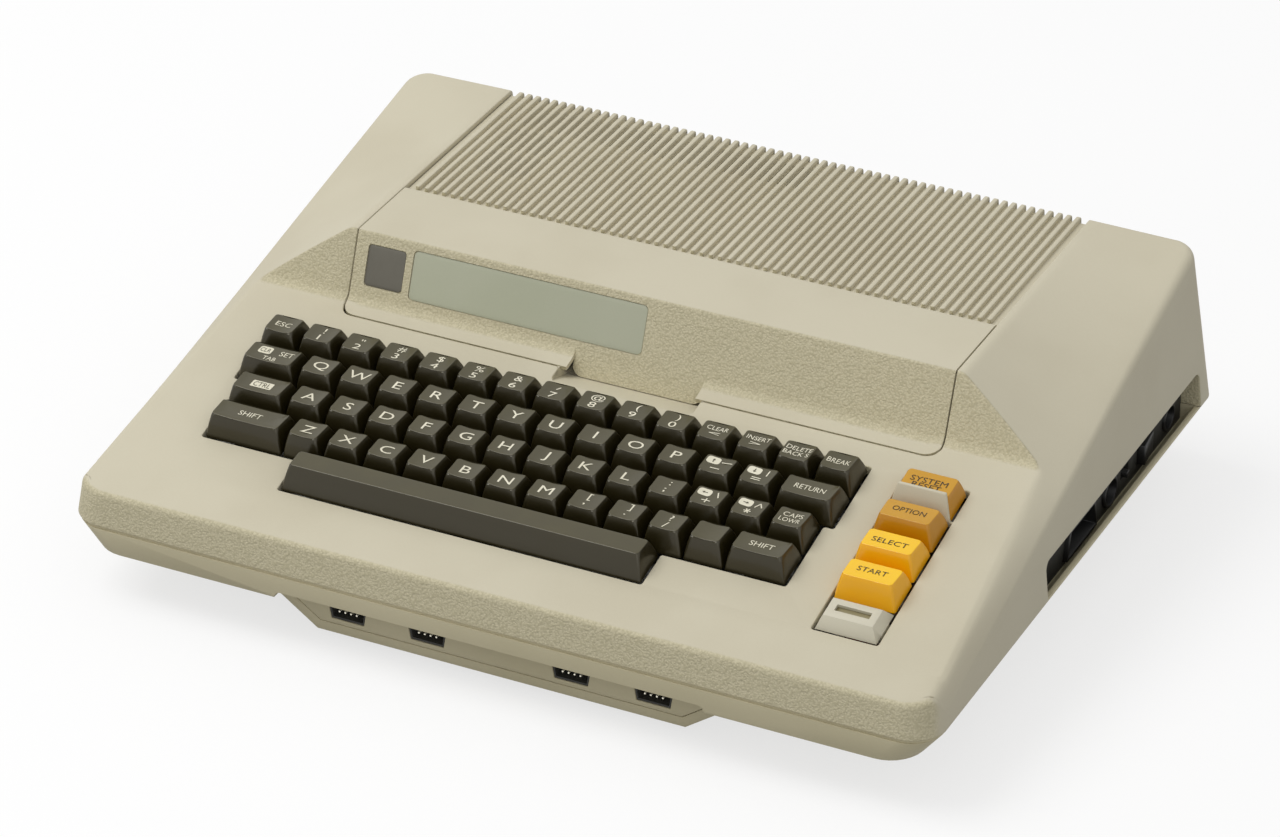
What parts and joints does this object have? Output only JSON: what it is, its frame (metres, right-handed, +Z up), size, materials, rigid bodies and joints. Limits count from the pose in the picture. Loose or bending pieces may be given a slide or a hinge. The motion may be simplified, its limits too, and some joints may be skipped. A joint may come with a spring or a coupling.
{
  "type": "home computer",
  "caption": "Home computer in a beige case with a sloped keyboard deck, side console keys, a lift-up cartridge door, a ribbed vent cover and front controller ports.",
  "frame": {"origin": "centre of the base, on the plane under the rubber feet", "axes": "+X to the right of someone typing, +Y to the back, +Z up"},
  "size_m": [0.4064, 0.3174, 0.1143],
  "materials": {
    "case_plastic": "moulded, fine grain",
    "key_plastic": "moulded, semi-gloss",
    "amber_plastic": "moulded, semi-gloss",
    "yellow_plastic": "moulded, semi-gloss",
    "lens_plastic": "moulded",
    "led_plastic": "clear red",
    "sage_plastic": "satin",
    "badge_metal": "dark, brushed",
    "bay_plastic": "moulded",
    "black_plastic": "moulded",
    "pin_metal": "bright plated",
    "steel": "zinc plated",
    "cast_metal": "cast",
    "board": "solder mask",
    "blue_film": "sleeve",
    "red_plastic": "moulded",
    "rubber": "matt"
  },
  "bodies": {
    "case": {"bottom_case": "case_plastic", "case_rim": "case_plastic", "port_pod": "case_plastic", "top_case": "case_plastic", "cartridge_bay": "bay_plastic", "door_hinge_pins": "steel", "power_light_lens": "lens_plastic", "power_led": "led_plastic", "jack_panel": "case_plastic", "controller_jacks": "black_plastic", "connector_pins": "pin_metal", "side_panel": "black_plastic", "serial_port": "black_plastic", "monitor_jack": "black_plastic", "power_jack": "black_plastic", "rf_cable_gland": "black_plastic", "rubber_feet": "rubber", "case_screws": "steel", "keyboard_plate": "steel", "keyboard_board": "board", "key_switch_housings": "black_plastic", "lower_shield": "cast_metal", "upper_shield": "cast_metal", "main_board": "board", "board_chips": "black_plastic", "memory_modules": "black_plastic", "cpu_board": "board", "power_supply_board": "board", "filter_capacitors": "blue_film", "heat_sink": "cast_metal", "rf_modulator": "steel", "speaker": "black_plastic", "interlock_switch": "black_plastic"},
    "door": {"cartridge_door": "case_plastic", "name_plate": "sage_plastic", "badge_plate": "badge_metal"},
    "vent_cover": {"memory_cover": "case_plastic"},
    "left_latch": {"left_cover_latch": "black_plastic"},
    "right_latch": {"right_cover_latch": "black_plastic"},
    "channel_slider": {"channel_switch": "black_plastic"},
    "power_rocker": {"power_switch": "black_plastic"},
    "plunger": {"interlock_plunger": "red_plastic"},
    "reset_key_body": {"reset_key": "amber_plastic"},
    "option_key_body": {"option_key": "amber_plastic"},
    "select_key_body": {"select_key": "yellow_plastic"},
    "start_key_body": {"start_key": "yellow_plastic"},
    "esc_key_body": {"esc_key": "key_plastic"},
    "number_keys_left_body": {"number_keys_left": "key_plastic"},
    "number_keys_right_body": {"number_keys_right": "key_plastic"},
    "break_key_body": {"break_key": "key_plastic"},
    "tab_key_body": {"tab_key": "key_plastic"},
    "upper_letter_keys_left_body": {"upper_letter_keys_left": "key_plastic"},
    "upper_letter_keys_right_body": {"upper_letter_keys_right": "key_plastic"},
    "return_key_body": {"return_key": "key_plastic"},
    "control_key_body": {"control_key": "key_plastic"},
    "home_letter_keys_left_body": {"home_letter_keys_left": "key_plastic"},
    "home_letter_keys_right_body": {"home_letter_keys_right": "key_plastic"},
    "caps_key_body": {"caps_key": "key_plastic"},
    "left_shift_key_body": {"left_shift_key": "key_plastic"},
    "lower_letter_keys_body": {"lower_letter_keys": "key_plastic"},
    "right_shift_key_body": {"right_shift_key": "key_plastic"},
    "space_bar_body": {"space_bar": "key_plastic"}
  },
  "joints": [
    {"name": "door_hinge", "type": "hinge", "parent": "case", "child": "door", "pos_m": [0, 0.0418, 0.1109], "axis": [-1, 0, 0], "range_deg": [0, 95]},
    {"name": "cover_lift", "type": "slide", "parent": "case", "child": "vent_cover", "axis": [0, 0, 1], "range_m": [0, 0.06]},
    {"name": "left_latch_turn", "type": "hinge", "parent": "case", "child": "left_latch", "pos_m": [-0.122, 0.036, 0.1015], "axis": [0, 0, 1], "range_deg": [0, 90]},
    {"name": "right_latch_turn", "type": "hinge", "parent": "case", "child": "right_latch", "pos_m": [0.122, 0.036, 0.1015], "axis": [0, 0, -1], "range_deg": [0, 90]},
    {"name": "channel_slide", "type": "slide", "parent": "case", "child": "channel_slider", "axis": [0, 1, 0], "range_m": [0, 0.0036]},
    {"name": "power_rock", "type": "hinge", "parent": "case", "child": "power_rocker", "pos_m": [0.1926, 0.095, 0.0384], "axis": [0, 0, -1], "range_deg": [0, 12]},
    {"name": "plunger_slide", "type": "slide", "parent": "case", "child": "plunger", "axis": [0, 0, 1], "range_m": [0, 0.0021]},
    {"name": "reset_key_press", "type": "slide", "parent": "case", "child": "reset_key_body", "axis": [0, 0.219, -0.9757], "range_m": [0, 0.0022], "stiffness_N_per_m": 150, "springref_m": -0.0015},
    {"name": "option_key_press", "type": "slide", "parent": "case", "child": "option_key_body", "axis": [0, 0.219, -0.9757], "range_m": [0, 0.0036], "stiffness_N_per_m": 150, "springref_m": -0.0015},
    {"name": "select_key_press", "type": "slide", "parent": "case", "child": "select_key_body", "axis": [0, 0.219, -0.9757], "range_m": [0, 0.0036], "stiffness_N_per_m": 150, "springref_m": -0.0015},
    {"name": "start_key_press", "type": "slide", "parent": "case", "child": "start_key_body", "axis": [0, 0.219, -0.9757], "range_m": [0, 0.0036], "stiffness_N_per_m": 150, "springref_m": -0.0015},
    {"name": "esc_key_press", "type": "slide", "parent": "case", "child": "esc_key_body", "axis": [0, 0.219, -0.9757], "range_m": [0, 0.0036], "stiffness_N_per_m": 150, "springref_m": -0.0015},
    {"name": "number_keys_left_press", "type": "slide", "parent": "case", "child": "number_keys_left_body", "axis": [0, 0.219, -0.9757], "range_m": [0, 0.0036], "stiffness_N_per_m": 900, "springref_m": -0.0015},
    {"name": "number_keys_right_press", "type": "slide", "parent": "case", "child": "number_keys_right_body", "axis": [0, 0.219, -0.9757], "range_m": [0, 0.0036], "stiffness_N_per_m": 1050, "springref_m": -0.0015},
    {"name": "break_key_press", "type": "slide", "parent": "case", "child": "break_key_body", "axis": [0, 0.219, -0.9757], "range_m": [0, 0.0036], "stiffness_N_per_m": 150, "springref_m": -0.0015},
    {"name": "tab_key_press", "type": "slide", "parent": "case", "child": "tab_key_body", "axis": [0, 0.219, -0.9757], "range_m": [0, 0.0036], "stiffness_N_per_m": 150, "springref_m": -0.0015},
    {"name": "upper_letter_keys_left_press", "type": "slide", "parent": "case", "child": "upper_letter_keys_left_body", "axis": [0, 0.219, -0.9757], "range_m": [0, 0.0036], "stiffness_N_per_m": 750, "springref_m": -0.0015},
    {"name": "upper_letter_keys_right_press", "type": "slide", "parent": "case", "child": "upper_letter_keys_right_body", "axis": [0, 0.219, -0.9757], "range_m": [0, 0.0036], "stiffness_N_per_m": 1050, "springref_m": -0.0015},
    {"name": "return_key_press", "type": "slide", "parent": "case", "child": "return_key_body", "axis": [0, 0.219, -0.9757], "range_m": [0, 0.0036], "stiffness_N_per_m": 150, "springref_m": -0.0015},
    {"name": "control_key_press", "type": "slide", "parent": "case", "child": "control_key_body", "axis": [0, 0.219, -0.9757], "range_m": [0, 0.0036], "stiffness_N_per_m": 150, "springref_m": -0.0015},
    {"name": "home_letter_keys_left_press", "type": "slide", "parent": "case", "child": "home_letter_keys_left_body", "axis": [0, 0.219, -0.9757], "range_m": [0, 0.0036], "stiffness_N_per_m": 750, "springref_m": -0.0015},
    {"name": "home_letter_keys_right_press", "type": "slide", "parent": "case", "child": "home_letter_keys_right_body", "axis": [0, 0.219, -0.9757], "range_m": [0, 0.0036], "stiffness_N_per_m": 1050, "springref_m": -0.0015},
    {"name": "caps_key_press", "type": "slide", "parent": "case", "child": "caps_key_body", "axis": [0, 0.219, -0.9757], "range_m": [0, 0.0036], "stiffness_N_per_m": 150, "springref_m": -0.0015},
    {"name": "left_shift_key_press", "type": "slide", "parent": "case", "child": "left_shift_key_body", "axis": [0, 0.219, -0.9757], "range_m": [0, 0.0036], "stiffness_N_per_m": 150, "springref_m": -0.0015},
    {"name": "lower_letter_keys_press", "type": "slide", "parent": "case", "child": "lower_letter_keys_body", "axis": [0, 0.219, -0.9757], "range_m": [0, 0.0036], "stiffness_N_per_m": 1650, "springref_m": -0.0015},
    {"name": "right_shift_key_press", "type": "slide", "parent": "case", "child": "right_shift_key_body", "axis": [0, 0.219, -0.9757], "range_m": [0, 0.0036], "stiffness_N_per_m": 150, "springref_m": -0.0015},
    {"name": "space_bar_press", "type": "slide", "parent": "case", "child": "space_bar_body", "axis": [0, 0.219, -0.9757], "range_m": [0, 0.0036], "stiffness_N_per_m": 150, "springref_m": -0.0015}
  ],
  "couplings": [
    {"joint": "plunger_slide", "follows": "door_hinge", "m_per_rad": 0.0012}
  ]
}
